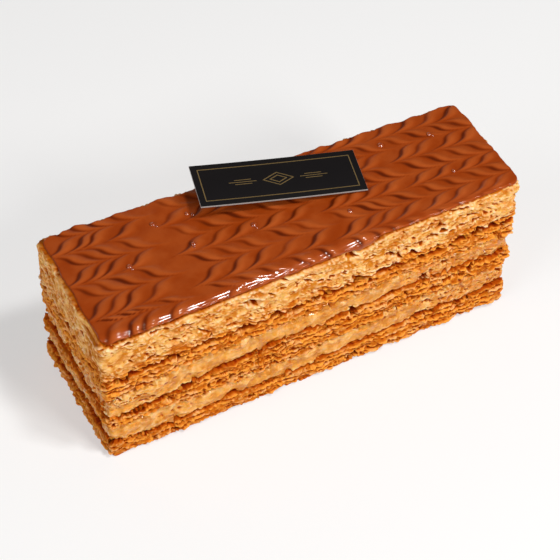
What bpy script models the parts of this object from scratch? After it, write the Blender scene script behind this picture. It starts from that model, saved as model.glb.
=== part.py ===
"""A slice of mille-feuille: three flaky pastry sheets, two creams, a glaze and a small card.

Lengths are in metres and +Z is up. The slice stands on z = 0, its long side runs along X,
and the broad cut side with the hanging glaze faces -Y.
"""

import math

import bmesh
import bpy
from mathutils import Euler, Vector

MM = 0.001
COLLECTION_NAME = "mille_feuille_slice"

# The block: its four upright edges at the foot and at the top, as (x, y).
HEIGHT = 47.0 * MM
FOOT_FRONT_LEFT = Vector((-62.3, -20.8)) * MM
FOOT_FRONT_RIGHT = Vector((60.6, -18.9)) * MM
FOOT_BACK_LEFT = Vector((-63.8, 22.6)) * MM
FOOT_BACK_RIGHT = Vector((60.9, 18.6)) * MM
TOP_FRONT_LEFT = Vector((-62.6, -19.7)) * MM
TOP_FRONT_RIGHT = Vector((64.2, -17.1)) * MM
TOP_BACK_LEFT = Vector((-62.0, 19.5)) * MM
TOP_BACK_RIGHT = Vector((63.3, 16.5)) * MM
CORNER_CUT = 0.9 * MM

# Height in millimetres of each layer's upper face, at nine stations from the left end to the
# right end.
FOOT_LEVEL = (0.0,) * 9
BOTTOM_PASTRY_LEVEL = (5.3, 5.2, 5.2, 5.6, 6.0, 6.8, 7.2, 7.8, 7.8)
LOWER_CREAM_LEVEL = (11.8, 11.8, 11.3, 11.3, 11.7, 13.3, 14.3, 14.8, 14.8)
MIDDLE_PASTRY_LEVEL = (15.3, 17.0, 18.5, 19.9, 21.0, 21.2, 21.4, 21.0, 20.6)
UPPER_CREAM_LEVEL = (23.5, 25.0, 26.2, 26.6, 26.4, 27.0, 27.2, 27.2, 27.2)
TOP_PASTRY_LEVEL = (45.8,) * 9
LAYER_WAVE = 0.5 * MM
WAVES = 3.5
GAP = 0.3 * MM

# The rings of edges that each kind of layer is cut into, from its lower face to its upper face.
COLUMNS = 36
RANKS = 3
FLAKY_ROWS = 6
CRUMB_ROWS = 4
CREAM_ROWS = 3
FLAKY_SHARE = 0.32

# Edges of the layers.
FLAKE_DEPTH = 0.9 * MM
FLAKE_RIDGE = 0.15
FLAKE_TUCK = 0.3
CRUMB_DEPTH = 0.4 * MM
CREAM_BULGE = 0.8 * MM
CREAM_TUCK = 0.4
CREAM_RECESS = 0.6 * MM
TOP_SHOULDER = 0.75 * MM
TOP_EASE = 0.3 * MM

# Two waves whose sum makes the cut edges uneven: length along the outline, and turn per row.
RIPPLES = ((20.3 * MM, 2.1), (36.3 * MM, -1.3))
RIPPLE_TURN = 3.0

# The glaze: a thin coat with a lip that hangs over part of the front.
LIP_OUT = 0.4 * MM
LIP_THICKNESS = 0.7 * MM
LIP_DROP_LONG = 3.0 * MM
LIP_DROP_SHORT = 0.5 * MM
LIP_END_X = 18.0 * MM
LIP_FADE = 4.0 * MM
GLAZE_ROUNDING = 0.35 * MM
GLAZE_ROWS = 3
LIP_RANKS = 3
GLAZE_RANKS = (0.0, 0.018, 0.04, 0.25, 0.5, 0.75, 0.975, 1.0)

# The card that lies across the glaze.
CARD_SIZE = Vector((46.4, 15.8, 0.5)) * MM
CARD_CENTRE = Vector((3.05, 9.62, 49.7)) * MM
CARD_TURN = math.radians(-12.9)
CARD_TIP = math.radians(5.3)
CARD_EDGE = 0.08 * MM

# Linear RGB colours and roughnesses.
CRUST_COLOUR = (0.60, 0.20, 0.035)
CRUMB_COLOUR = (0.74, 0.32, 0.075)
CREAM_COLOUR = (0.74, 0.34, 0.085)
GLAZE_COLOUR = (0.32, 0.048, 0.006)
CARD_COLOUR = (0.013, 0.011, 0.011)
PASTRY_ROUGHNESS = 0.7
CREAM_ROUGHNESS = 0.35
GLAZE_ROUGHNESS = 0.25
CARD_ROUGHNESS = 0.45


def clear_scene():
    for thing in list(bpy.data.objects):
        bpy.data.objects.remove(thing, do_unlink=True)


def make_collection(name):
    collection = bpy.data.collections.new(name)
    bpy.context.scene.collection.children.link(collection)
    return collection


def make_material(name, colour, roughness):
    material = bpy.data.materials.new(name)
    material.use_nodes = True
    shader = material.node_tree.nodes["Principled BSDF"]
    shader.inputs["Base Color"].default_value = (*colour, 1.0)
    shader.inputs["Roughness"].default_value = roughness
    return material


def mix(start, end, share):
    return start + (end - start) * share


def smooth_step(value):
    value = min(1.0, max(0.0, value))
    return value * value * (3.0 - 2.0 * value)


def plan_point(across, along, height):
    """The point of the block at shares across its length and width, at a height."""
    rise = height / HEIGHT
    front_left = mix(FOOT_FRONT_LEFT, TOP_FRONT_LEFT, rise)
    front_right = mix(FOOT_FRONT_RIGHT, TOP_FRONT_RIGHT, rise)
    back_left = mix(FOOT_BACK_LEFT, TOP_BACK_LEFT, rise)
    back_right = mix(FOOT_BACK_RIGHT, TOP_BACK_RIGHT, rise)
    front = mix(front_left, front_right, across)
    back = mix(back_left, back_right, across)
    return mix(front, back, along)


def level_height(level, across, along):
    """Height of a layer's face: straight between its stations, and wavy from front to back."""
    if level in (FOOT_LEVEL, TOP_PASTRY_LEVEL):
        return level[0] * MM
    spans = len(level) - 1
    first = min(int(across * spans), spans - 1)
    height = mix(level[first], level[first + 1], across * spans - first) * MM
    return height + LAYER_WAVE * along * math.sin(math.tau * WAVES * across + level[0])


def ripple(distance, row):
    """An uneven number from 0 to 1 along the outline, different in each row."""
    value = sum(math.sin(math.tau * distance / length + turn * row) for length, turn in RIPPLES)
    return 0.5 + 0.5 * value / len(RIPPLES)


def flaky_edge(row, rows, distance, direction):
    """Sheets of pastry end in ridges, each a little in or out of the cut."""
    if row in (0, rows):
        return -FLAKE_TUCK * FLAKE_DEPTH
    depth = 1.0 if row % 2 else FLAKE_RIDGE
    return -FLAKE_DEPTH * depth * ripple(distance, row)


def cream_edge(row, rows, distance, direction):
    """Cream swells out of the long cuts between two sheets, and lies back at the ends."""
    swell = math.sin(math.pi * row / rows)
    if direction.x:
        return -CREAM_RECESS * (0.5 + swell)
    return CREAM_BULGE * (swell * (CREAM_TUCK + ripple(distance, CREAM_ROWS)) - CREAM_TUCK)


def top_edge(row, rows, distance, direction):
    """The top sheet is flaky below and a finer crumb above, set back under the glaze's lip."""
    if row >= rows - 1 and direction.y < 0.0:
        return -TOP_SHOULDER
    if row == rows:
        return -TOP_EASE
    if row <= FLAKY_ROWS:
        return flaky_edge(row, rows, distance, direction)
    return -CRUMB_DEPTH * ripple(distance, row)


def even_rows(count, start=0.0, end=1.0):
    """Shares of a layer's height that cut a part of it into even rows."""
    return [mix(start, end, step / count) for step in range(count + 1)]


def top_rows():
    """The top sheet's rows: close together in its flaky part, wider in its crumb."""
    return even_rows(FLAKY_ROWS, end=FLAKY_SHARE) + even_rows(CRUMB_ROWS, start=FLAKY_SHARE)[1:]


def cube_grid(columns, ranks, rows):
    """A unit cube from 0 to 1, cut into columns along X, ranks along Y and rows along Z."""
    mesh = bmesh.new()
    bmesh.ops.create_cube(mesh, size=1.0)
    bmesh.ops.translate(mesh, verts=mesh.verts, vec=(0.5, 0.5, 0.5))
    for axis, count in enumerate((columns, ranks, rows)):
        edges = [
            edge for edge in mesh.edges
            if abs(edge.verts[0].co[axis] - edge.verts[1].co[axis]) > 0.5
        ]
        bmesh.ops.subdivide_edges(mesh, edges=edges, cuts=count - 1, use_grid_fill=True)
    return mesh


def outward(across, along):
    """The direction out of the block at its outline, shortened at the corners."""
    direction = Vector((0.0, 0.0))
    if across in (0.0, 1.0):
        direction.x = 2.0 * across - 1.0
    if along in (0.0, 1.0):
        direction.y = 2.0 * along - 1.0
    return direction


def add_object(collection, name, mesh, material):
    data = bpy.data.meshes.new(name)
    mesh.to_mesh(data)
    mesh.free()
    data.materials.append(material)
    thing = bpy.data.objects.new(name, data)
    collection.objects.link(thing)
    return thing


def add_layer(collection, name, levels, row_shares, edge, material):
    """One sheet or cream: a slab between two levels, with its own kind of edge."""
    rows = len(row_shares) - 1
    mesh = cube_grid(COLUMNS, RANKS, rows)
    for vertex in mesh.verts:
        across = round(vertex.co.x * COLUMNS) / COLUMNS
        along = round(vertex.co.y * RANKS) / RANKS
        row = round(vertex.co.z * rows)
        bottom = level_height(levels[0], across, along)
        top = level_height(levels[1], across, along)
        if levels[0] is not FOOT_LEVEL:
            bottom += 0.5 * GAP
        top -= 0.5 * GAP
        height = mix(bottom, top, row_shares[row])
        place = plan_point(across, along, height)
        direction = outward(across, along)
        distance = place.x + RIPPLE_TURN * place.y
        place += direction * edge(row, rows, distance, direction)
        if direction.x and direction.y:
            place -= direction * CORNER_CUT
        vertex.co = (place.x, place.y, height)
    return add_object(collection, name, mesh, material)


def lip_drop(x):
    """How far the glaze hangs below the top pastry's face: long on the left, short on the right."""
    share = smooth_step((x - LIP_END_X + LIP_FADE) / LIP_FADE)
    return mix(LIP_DROP_LONG, LIP_DROP_SHORT, share)


def glaze_front(rank, row, x):
    """Offset from the front edge and height in the rounded, hanging front of the glaze."""
    under = TOP_PASTRY_LEVEL[0] * MM + 0.5 * GAP
    tip = under - lip_drop(x)
    inner = LIP_THICKNESS - LIP_OUT
    if row == 0:
        outer = -LIP_OUT + 0.5 * GLAZE_ROUNDING
        return ((outer, tip), (inner, tip + GLAZE_ROUNDING), (inner, under))[rank]
    if row == GLAZE_ROWS:
        outside = (-LIP_OUT + GLAZE_ROUNDING, LIP_THICKNESS, 2.0 * LIP_THICKNESS)
        drop = GLAZE_ROUNDING if rank == 0 else 0.0
        return outside[rank], HEIGHT - drop
    low = tip + GLAZE_ROUNDING
    high = HEIGHT - 2.0 * GLAZE_ROUNDING
    return -LIP_OUT, mix(low, high, (row - 1) / (GLAZE_ROWS - 2))


def add_glaze(collection, material):
    last_rank = len(GLAZE_RANKS) - 1
    under = TOP_PASTRY_LEVEL[0] * MM + 0.5 * GAP
    mesh = cube_grid(COLUMNS, last_rank, GLAZE_ROWS)
    for vertex in mesh.verts:
        across = round(vertex.co.x * COLUMNS) / COLUMNS
        rank = round(vertex.co.y * last_rank)
        row = round(vertex.co.z * GLAZE_ROWS)
        front = plan_point(across, 0.0, HEIGHT)
        if rank < LIP_RANKS:
            offset, height = glaze_front(rank, row, front.x)
            place = front + Vector((0.0, offset))
        else:
            place = plan_point(across, GLAZE_RANKS[rank], HEIGHT)
            height = mix(under, HEIGHT, row / GLAZE_ROWS)
        direction = outward(across, GLAZE_RANKS[rank])
        if row == GLAZE_ROWS and rank > 0 and direction.length:
            height -= GLAZE_ROUNDING
            place -= direction * GLAZE_ROUNDING
        if direction.x and direction.y:
            place.x -= direction.x * CORNER_CUT
            place.y -= direction.y * CORNER_CUT * (rank > 0)
        vertex.co = (place.x, place.y, height)
    return add_object(collection, "glaze", mesh, material)


def add_card(collection, material):
    mesh = bmesh.new()
    bmesh.ops.create_cube(mesh, size=1.0)
    bmesh.ops.scale(mesh, verts=mesh.verts, vec=CARD_SIZE)
    card = add_object(collection, "card", mesh, material)
    card.location = CARD_CENTRE
    card.rotation_euler = Euler((0.0, CARD_TIP, CARD_TURN))
    rounding = card.modifiers.new("edge", "BEVEL")
    rounding.width = CARD_EDGE
    rounding.segments = 1
    return card


def main():
    clear_scene()
    collection = make_collection(COLLECTION_NAME)
    layers = (
        ("pastry_bottom", FOOT_LEVEL, BOTTOM_PASTRY_LEVEL, even_rows(FLAKY_ROWS), flaky_edge,
         CRUST_COLOUR, PASTRY_ROUGHNESS),
        ("cream_lower", BOTTOM_PASTRY_LEVEL, LOWER_CREAM_LEVEL, even_rows(CREAM_ROWS), cream_edge,
         CREAM_COLOUR, CREAM_ROUGHNESS),
        ("pastry_middle", LOWER_CREAM_LEVEL, MIDDLE_PASTRY_LEVEL, even_rows(FLAKY_ROWS), flaky_edge,
         CRUST_COLOUR, PASTRY_ROUGHNESS),
        ("cream_upper", MIDDLE_PASTRY_LEVEL, UPPER_CREAM_LEVEL, even_rows(CREAM_ROWS), cream_edge,
         CREAM_COLOUR, CREAM_ROUGHNESS),
        ("pastry_top", UPPER_CREAM_LEVEL, TOP_PASTRY_LEVEL, top_rows(), top_edge,
         CRUMB_COLOUR, PASTRY_ROUGHNESS),
    )
    for name, lower, upper, rows, edge, colour, roughness in layers:
        material = make_material(name, colour, roughness)
        add_layer(collection, name, (lower, upper), rows, edge, material)
    add_glaze(collection, make_material("glaze", GLAZE_COLOUR, GLAZE_ROUGHNESS))
    add_card(collection, make_material("card", CARD_COLOUR, CARD_ROUGHNESS))


main()
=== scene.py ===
"""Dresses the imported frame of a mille-feuille slice: flaky pastry, cream, feathered glaze and a card.

The file is laid out as an add-on and runs as a script. Shapes are worked out in millimetres
and written to their meshes in metres, in the frame's own axes: X along the slice, -Y towards
the long front cut, +Z up.
"""

import math

import bmesh
import bpy
import numpy as np
from bpy.props import FloatProperty, FloatVectorProperty, IntProperty, PointerProperty
from bpy.types import Operator, Panel, PropertyGroup
from mathutils import Matrix, Vector


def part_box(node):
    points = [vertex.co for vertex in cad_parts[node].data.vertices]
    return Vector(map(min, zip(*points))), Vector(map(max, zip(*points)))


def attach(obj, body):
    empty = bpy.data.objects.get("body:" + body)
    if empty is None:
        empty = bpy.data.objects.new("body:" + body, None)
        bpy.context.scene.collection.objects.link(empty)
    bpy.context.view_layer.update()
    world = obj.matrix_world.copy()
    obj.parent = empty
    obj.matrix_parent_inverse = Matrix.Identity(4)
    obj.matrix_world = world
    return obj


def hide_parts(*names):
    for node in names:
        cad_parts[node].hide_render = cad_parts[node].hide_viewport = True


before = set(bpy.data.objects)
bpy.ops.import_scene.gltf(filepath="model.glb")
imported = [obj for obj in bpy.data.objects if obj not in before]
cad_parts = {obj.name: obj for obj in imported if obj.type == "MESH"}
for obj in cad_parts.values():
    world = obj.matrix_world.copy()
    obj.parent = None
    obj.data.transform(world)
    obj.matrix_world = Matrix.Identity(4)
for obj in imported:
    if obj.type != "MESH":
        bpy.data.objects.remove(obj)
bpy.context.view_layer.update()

bl_info = {
    "name": "Mille-feuille slice",
    "version": (1, 0, 0),
    "blender": (4, 5, 0),
    "location": "3D View > Sidebar > Mille-feuille",
    "description": "Builds the looks of a slice of mille-feuille round its packed frame",
    "category": "Object",
}

MM = 0.001
TAU = math.tau


# ---------------------------------------------------------------- the frame's shape

def node_points(name):
    """A frame node's corners, in millimetres."""
    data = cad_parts[name].data
    points = np.empty(3 * len(data.vertices))
    data.vertices.foreach_get("co", points)
    return points.reshape(-1, 3) / MM


CORNER_EASE = 1.1
HALF_X, HALF_Y = 62.4, 19.2
INNER_MARGIN = 5.5
STATIONS = np.linspace(-60.0, 60.0, 33)


def block_corner(name, side_x, side_y):
    """The corner of the block in a node, as if its upright edges were sharp."""
    points = node_points(name)
    reach = points[:, 0] * side_x + points[:, 1] * side_y
    return points[reach.argmax(), :2] + CORNER_EASE * np.array((side_x, side_y))


FOOT = {side: block_corner("pastry_bottom", *side) for side in ((-1, -1), (1, -1), (-1, 1), (1, 1))}
TOP = {side: block_corner("pastry_top", *side) for side in FOOT}
TOP_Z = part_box("glaze")[1].z / MM


def upper_face(name):
    """Heights of a node's upper face at the stations, along its front and along its back."""
    points = node_points(name)
    faces = []
    for side in (-1, 1):
        edge = points[points[:, 1] * side > 12.0]
        faces.append([edge[abs(edge[:, 0] - x) < 3.0][:, 2].max() for x in STATIONS])
    return np.array(faces)


LEVELS = {
    name: upper_face(name)
    for name in ("pastry_bottom", "cream_lower", "pastry_middle", "cream_upper", "pastry_top")
}


def level(name, x, y):
    """Height of a node's upper face over places in the plan."""
    front, back = (np.interp(x, STATIONS, heights) for heights in LEVELS[name])
    return front + (back - front) * np.clip(y / 36.0 + 0.5, 0.0, 1.0)


def plan(across, along, z):
    """Places in the block from shares of its length and width and a height."""
    rise = np.clip(z / TOP_Z, 0.0, 1.05)[..., None]
    left_front, right_front, left_back, right_back = (
        FOOT[side] + (TOP[side] - FOOT[side]) * rise for side in FOOT
    )
    across, along = across[..., None], along[..., None]
    front = left_front + (right_front - left_front) * across
    back = left_back + (right_back - left_back) * across
    return front + (back - front) * along


def outward(x, y, half_x=HALF_X, half_y=HALF_Y, margin=INNER_MARGIN):
    """Unit directions away from the block's core, which fan out evenly round its corners."""
    dx = x - np.clip(x, margin - half_x, half_x - margin)
    dy = y - np.clip(y, margin - half_y, half_y - margin)
    length = np.maximum(np.hypot(dx, dy), 1e-6)
    return dx / length, dy / length


def outline(columns, radius):
    """Even places round a rectangle with round corners, anticlockwise from the front left."""
    straights = (2 * (HALF_X - radius), 2 * (HALF_Y - radius)) * 2
    arc = 0.5 * math.pi * radius
    total = sum(straights) + 4 * arc
    distance = np.arange(columns) * total / columns
    x, y = np.empty(columns), np.empty(columns)
    start, heading = 0.0, 0.0
    place = np.array((radius - HALF_X, -HALF_Y))
    for straight in straights:
        ahead = np.array((math.cos(heading), math.sin(heading)))
        inward = np.array((-ahead[1], ahead[0]))
        on_side = (distance >= start) & (distance < start + straight)
        run = (distance[on_side] - start)[:, None]
        x[on_side], y[on_side] = (place + ahead * run).T
        place = place + ahead * straight
        start += straight
        on_arc = (distance >= start) & (distance < start + arc)
        turn = ((distance[on_arc] - start) / radius)[:, None]
        bend = ahead * radius * np.sin(turn) + inward * radius * (1.0 - np.cos(turn))
        x[on_arc], y[on_arc] = (place + bend).T
        place = place + (ahead + inward) * radius
        start += arc
        heading += 0.5 * math.pi
    return x, y


# ---------------------------------------------------------------- fixed noise

GRADIENTS = np.array([
    (x, y, z)
    for x in (-1, 0, 1) for y in (-1, 0, 1) for z in (-1, 0, 1)
    if abs(x) + abs(y) + abs(z) == 2
], float)


def lattice_hash(cell, seed):
    """A fixed whole number for each whole-numbered place."""
    value = cell.astype(np.int64).astype(np.uint32)
    mixed = value[..., 0] * np.uint32(374761393) + value[..., 1] * np.uint32(668265263)
    mixed += value[..., 2] * np.uint32(2246822519) + np.uint32(seed * 3266489917 % 2**32)
    mixed = (mixed ^ (mixed >> np.uint32(13))) * np.uint32(1274126177)
    return mixed ^ (mixed >> np.uint32(16))


def lattice_random(cell, seed):
    """A fixed number from 0 to 1 for each whole-numbered place."""
    return lattice_hash(cell, seed) / 2.0**32


def stack(x, y, z):
    return np.stack(np.broadcast_arrays(x, y, z), -1).astype(float)


def noise(x, y, z, size, seed):
    """Smooth noise of about -1 to 1. Size is the breadth of a swell, or one for each axis."""
    points = stack(x, y, z) / np.asarray(size, float)
    cell = np.floor(points)
    inside = points - cell
    ease = inside * inside * inside * (inside * (inside * 6.0 - 15.0) + 10.0)
    total = 0.0
    for corner in np.ndindex(2, 2, 2):
        corner = np.array(corner, float)
        gradient = GRADIENTS[lattice_hash(cell + corner, seed) % np.uint32(12)]
        weight = np.prod(np.where(corner, ease, 1.0 - ease), -1)
        total = total + weight * np.sum(gradient * (inside - corner), -1)
    return total * 1.4


def rough_noise(x, y, z, size, seed, layers=3):
    """Noise with finer and finer swells in it."""
    size = np.asarray(size, float)
    return sum(
        noise(x, y, z, size * 0.5**step, seed + 17 * step) * 0.55**step for step in range(layers)
    )


def bubbles(x, y, z, size, seed):
    """Closed cells: nearness to the wall from 0, and a random number for each cell."""
    points = stack(x, y, z) / np.asarray(size, float)
    cell = np.floor(points)
    first = np.full(points.shape[:-1], 9.0)
    second = first.copy()
    draw = np.zeros_like(first)
    for step in np.ndindex(3, 3, 3):
        near = cell + np.array(step, float) - 1.0
        seat = near + stack(*(lattice_random(near, seed + part) for part in (1, 2, 3)))
        gap = np.linalg.norm(points - seat, axis=-1)
        closer = gap < first
        second = np.where(closer, first, np.minimum(second, gap))
        draw = np.where(closer, lattice_random(near, seed + 4), draw)
        first = np.where(closer, gap, first)
    return second - first, draw


def step_between(low, high, value):
    """0 below low, 1 above high and smooth between."""
    share = np.clip((value - low) / (high - low), 0.0, 1.0)
    return share * share * (3.0 - 2.0 * share)


def hump(value, centre, breadth):
    return np.exp(-(((value - centre) / breadth) ** 2))


# ---------------------------------------------------------------- meshes

def add_piece(name, data, material, node=None):
    """Links a finished mesh as a piece of the slice."""
    data.materials.append(material)
    piece = bpy.data.objects.new(name, data)
    bpy.context.scene.collection.objects.link(piece)
    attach(piece, "root")
    if node:
        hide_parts(node)
    return piece


def finish_mesh(mesh, name, crease=50.0):
    """Turns a bmesh into smooth-shaded mesh data with its sharp folds kept."""
    data = bpy.data.meshes.new(name)
    mesh.to_mesh(data)
    mesh.free()
    return shade(data, crease)


def shade(data, crease=50.0):
    data.polygons.foreach_set("use_smooth", np.ones(len(data.polygons), bool))
    data.set_sharp_from_angle(angle=math.radians(crease))
    return data


def get_points(data):
    points = np.empty(3 * len(data.vertices))
    data.vertices.foreach_get("co", points)
    return points.reshape(-1, 3)


def set_points(data, points):
    data.vertices.foreach_set("co", np.ascontiguousarray(points).ravel())
    data.update()


def set_attribute(data, name, values):
    data.attributes.new(name, "FLOAT", "POINT").data.foreach_set("value", np.ravel(values))


def wall_mesh(name, columns, rows):
    """A closed drum of even columns and rows, and the column and row of each of its corners."""
    mesh = bmesh.new()
    bmesh.ops.create_cone(
        mesh, cap_ends=True, cap_tris=True, segments=columns, radius1=1.0, radius2=1.0, depth=2.0
    )
    uprights = [edge for edge in mesh.edges if abs(edge.verts[0].co.z - edge.verts[1].co.z) > 1.0]
    bmesh.ops.subdivide_edges(mesh, edges=uprights, cuts=rows - 2)
    data = bpy.data.meshes.new(name)
    mesh.to_mesh(data)
    mesh.free()
    points = get_points(data)
    turn = np.arctan2(points[:, 1], points[:, 0]) / TAU
    column = np.rint(turn * columns).astype(int) % columns
    row = np.rint((points[:, 2] + 1.0) / 2.0 * (rows - 1)).astype(int)
    centre = np.hypot(points[:, 0], points[:, 1]) < 0.5
    return data, column, row, centre


def build_wall(name, heights, depths, attributes, radius=1.6):
    """A closed body whose side runs through rows of heights and of depths into the cut."""
    rows, columns = heights.shape
    data, column, row, centre = wall_mesh(name, columns, rows)
    x, y = outline(columns, radius)
    across, along = 0.5 + 0.5 * x / HALF_X, 0.5 + 0.5 * y / HALF_Y
    out_x, out_y = outward(x, y)
    places = plan(np.tile(across, (rows, 1)), np.tile(along, (rows, 1)), heights)
    places = places - depths[..., None] * np.stack((out_x, out_y), -1)
    points = np.empty((len(column), 3))
    points[:, :2] = places[row, column]
    points[:, 2] = heights[row, column]
    points[centre, :2] = 0.0
    for end in (0, rows - 1):
        points[centre & (row == end), 2] = heights[end].mean()
    set_points(data, points * MM)
    for key, values in attributes.items():
        values = values[row, column]
        values[centre] = 0.0
        set_attribute(data, key, values)
    return shade(data, 180.0)


# ---------------------------------------------------------------- pastry

class Cut:
    """The places round the block's cut sides, one for each column of a wall."""

    def __init__(self, columns=1100, radius=1.6):
        self.radius = radius
        self.x, self.y = outline(columns, radius)
        self.front = step_between(12.0 - HALF_Y, 8.0 - HALF_Y, self.y)

    def noise(self, row, size, seed):
        """Noise along the cut, unlike in each row."""
        return noise(self.x, self.y, 37.7 * row, (size, size, 11.0), seed)

    def rows(self, count, size, seed):
        return np.array([self.noise(row, size, seed) for row in range(count)])

    def level(self, name):
        return level(name, self.x, self.y)


# Hollows seen on the front cut: X, Z, half length, half height and depth.
HOLLOWS = (
    (-57.0, 30.0, 1.5, 0.9, 1.8), (-46.0, 30.9, 3.5, 0.4, 1.2), (-30.0, 31.5, 5.0, 0.4, 1.3),
    (-12.0, 31.8, 7.0, 0.4, 1.3), (-1.4, 32.0, 1.2, 0.7, 1.6), (16.4, 30.0, 0.9, 0.7, 1.6),
    (36.0, 33.6, 2.0, 0.5, 1.4), (44.5, 33.2, 1.6, 0.7, 1.8), (48.6, 33.0, 0.9, 1.3, 2.2),
    (54.8, 34.0, 1.8, 0.6, 1.8), (58.5, 34.2, 1.5, 0.5, 1.6), (-32.0, 34.2, 0.7, 0.5, 1.4),
    (0.8, 38.5, 0.8, 0.5, 1.4), (4.2, 38.4, 0.9, 0.5, 1.4), (7.9, 38.2, 0.8, 0.5, 1.3),
    (38.6, 38.9, 1.6, 0.6, 1.6), (44.5, 38.2, 1.3, 0.5, 1.5), (49.0, 38.0, 1.3, 0.5, 1.6),
    (33.0, 41.5, 1.4, 0.45, 1.2), (-55.0, 43.2, 1.2, 0.6, 1.3), (-47.0, 43.6, 1.6, 0.5, 1.2),
    (-54.0, 15.4, 3.5, 0.7, 1.6), (-47.5, 16.4, 3.5, 0.6, 1.6), (-40.0, 17.6, 3.5, 0.7, 1.8),
    (-20.0, 16.7, 2.4, 0.5, 1.6), (-13.6, 13.0, 1.8, 0.4, 1.4), (-5.0, 13.5, 2.6, 0.4, 1.4),
    (11.4, 21.0, 1.2, 1.5, 1.8), (34.0, 23.0, 1.4, 1.5, 2.0), (49.0, 19.6, 0.9, 1.3, 1.8),
    (42.0, 18.7, 1.5, 0.9, 1.5), (57.0, 21.5, 0.8, 0.8, 1.5), (38.5, 17.0, 2.0, 0.5, 1.4),
    (-53.0, 4.4, 1.6, 0.9, 1.6), (-43.0, 2.0, 2.4, 0.6, 1.7), (-20.0, 2.4, 1.4, 0.5, 1.5),
    (5.0, 4.0, 1.6, 0.5, 1.4), (9.0, 3.5, 1.2, 0.5, 1.4), (10.5, 1.0, 1.4, 0.4, 1.3),
    (35.0, 8.0, 2.0, 0.6, 1.6), (46.0, 7.0, 1.8, 0.7, 1.7), (50.4, 6.4, 0.9, 0.6, 1.6),
)
COLUMNS = 1280
SHEET_DEPTH = 4.0
CURL = 0.16


def hollows(cut, x, y, z):
    """Depth of the listed hollows, with uneven rims."""
    rim = 1.0 + 0.45 * noise(x, y, z, 0.9, 61)
    depth = np.zeros_like(z)
    for place, height, half_length, half_height, reach in HOLLOWS:
        away = np.hypot((x - place) / half_length, (z - height) / half_height) * rim
        depth = np.maximum(depth, reach * step_between(1.15, 0.55, away))
    return depth * cut.front


def honeycomb(x, y, z, cell, warp, seed, rim=(0.1, 0.55)):
    """Pits with webs between them, from 0 on a web to 1, and a random number for each pit."""
    sway = [warp * noise(x, y, z, 1.9, seed + axis) for axis in range(3)]
    wall, draw = bubbles(x + sway[0], y + sway[1], z + 0.5 * sway[2], cell, seed + 3)
    return step_between(rim[0], rim[1], wall), draw


def flaky_relief(cut, x, y, z, share, seed):
    """Depth of browned, flaky pastry: ragged edges of thin sheets with flat pits between them."""
    tilt = -0.05 * step_between(5.0, 45.0, x) * (x - 5.0)
    lean = z + 0.6 * noise(x, y, z, (9.0, 9.0, 6.0), seed) - tilt
    open_here = np.clip(0.8 + 1.3 * noise(x, y, z, (8.0, 8.0, 3.0), seed + 5), 0.2, 1.5)
    pit, draw = honeycomb(x, y, lean, (3.8, 3.8, 1.9), 0.9, seed + 10)
    depth = 1.9 * pit * draw**2.2 * open_here
    pit, draw = honeycomb(x, y, lean, (1.7, 1.7, 1.0), 0.5, seed + 20)
    depth = depth + 0.75 * pit * (0.1 + 0.9 * draw**1.5) * open_here**0.5
    sheet = lean / 1.45 + 0.35 * noise(x, y, lean, (5.0, 5.0, 3.0), seed + 30)
    index = np.rint(sheet)
    strength = 0.45 + 1.0 * noise(x, y, 7.7 * index, (4.5, 4.5, 5.0), seed + 31)
    strength = strength + 0.7 * noise(x, y, 7.7 * index, (1.3, 1.3, 5.0), seed + 32)
    edge = hump(sheet - index, 0.0, 0.2)
    depth = depth - 0.75 * edge * np.clip(strength, 0.0, 1.3) * step_between(-0.02, 0.1, share)
    crack = hump(sheet - np.floor(sheet), 0.5, 0.15)
    split = noise(x, y, 5.3 * np.floor(sheet), (7.0, 7.0, 5.0), seed + 36)
    split = step_between(0.05, 0.4, split + 0.35 * noise(x, y, z, 1.2, seed + 37))
    depth = depth + 1.6 * crack * split
    ragged = 0.3 * noise(x, y, z, 2.0, seed + 33) + 0.14 * noise(x, y, z, 0.8, seed + 34)
    return depth + ragged + 0.3 * noise(x, y, z, (9.0, 9.0, 2.2), seed + 35) - 0.35


def crumb_relief(cut, x, y, z, share, seed):
    """Depth of the pale crumb: small lumps with round and slanting pits among them."""
    lean = z + 0.9 * noise(x, y, z, 9.0, seed) + 0.3 * x
    open_here = np.clip(0.75 + 1.4 * noise(x, y, z, (7.0, 7.0, 4.0), seed + 5), 0.2, 1.5)
    pit, draw = honeycomb(x, y, lean, (5.2, 5.2, 2.8), 1.0, seed + 10, (0.15, 0.75))
    depth = 2.7 * pit * draw**2.0 * open_here
    pit, draw = honeycomb(x, y, lean, (1.9, 1.9, 1.2), 0.5, seed + 20, (0.15, 0.7))
    depth = depth + 0.95 * pit * (0.1 + 0.9 * draw**2.0) * open_here**0.6
    lump, draw = honeycomb(x, y, lean, (1.6, 1.6, 1.2), 0.4, seed + 30, (0.0, 0.5))
    depth = depth - 0.4 * lump * (0.3 + 0.7 * draw)
    calm = 1.0 - 0.85 * hump(x, -59.5, 4.0) * hump(z, 39.0, 3.0) * cut.front
    swell = 0.4 * noise(x, y, z, (6.0, 6.0, 3.5), seed + 33) + 0.3 * noise(x, y, z, 2.2, seed + 34)
    drop = glaze_drop(x, y)
    under_glaze = step_between(-0.4, 0.3, z - TOP_Z + front_sag(x, 0.0 * x) + 0.38 + drop) * cut.front
    sheet = lean / 1.1 + 0.35 * noise(x, y, lean, (4.0, 4.0, 3.0), seed + 40)
    edge = hump(sheet - np.rint(sheet), 0.0, 0.22) * (0.6 + noise(x, y, z, (2.0, 2.0, 1.0), seed + 41))
    depth = depth - 0.55 * edge * step_between(0.32, 0.1, share)
    depth = swell + (depth + 0.1 * noise(x, y, z, 0.8, seed + 35)) * calm - 0.25
    return depth * (1.0 - 0.7 * under_glaze) + 0.7 * under_glaze


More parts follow.
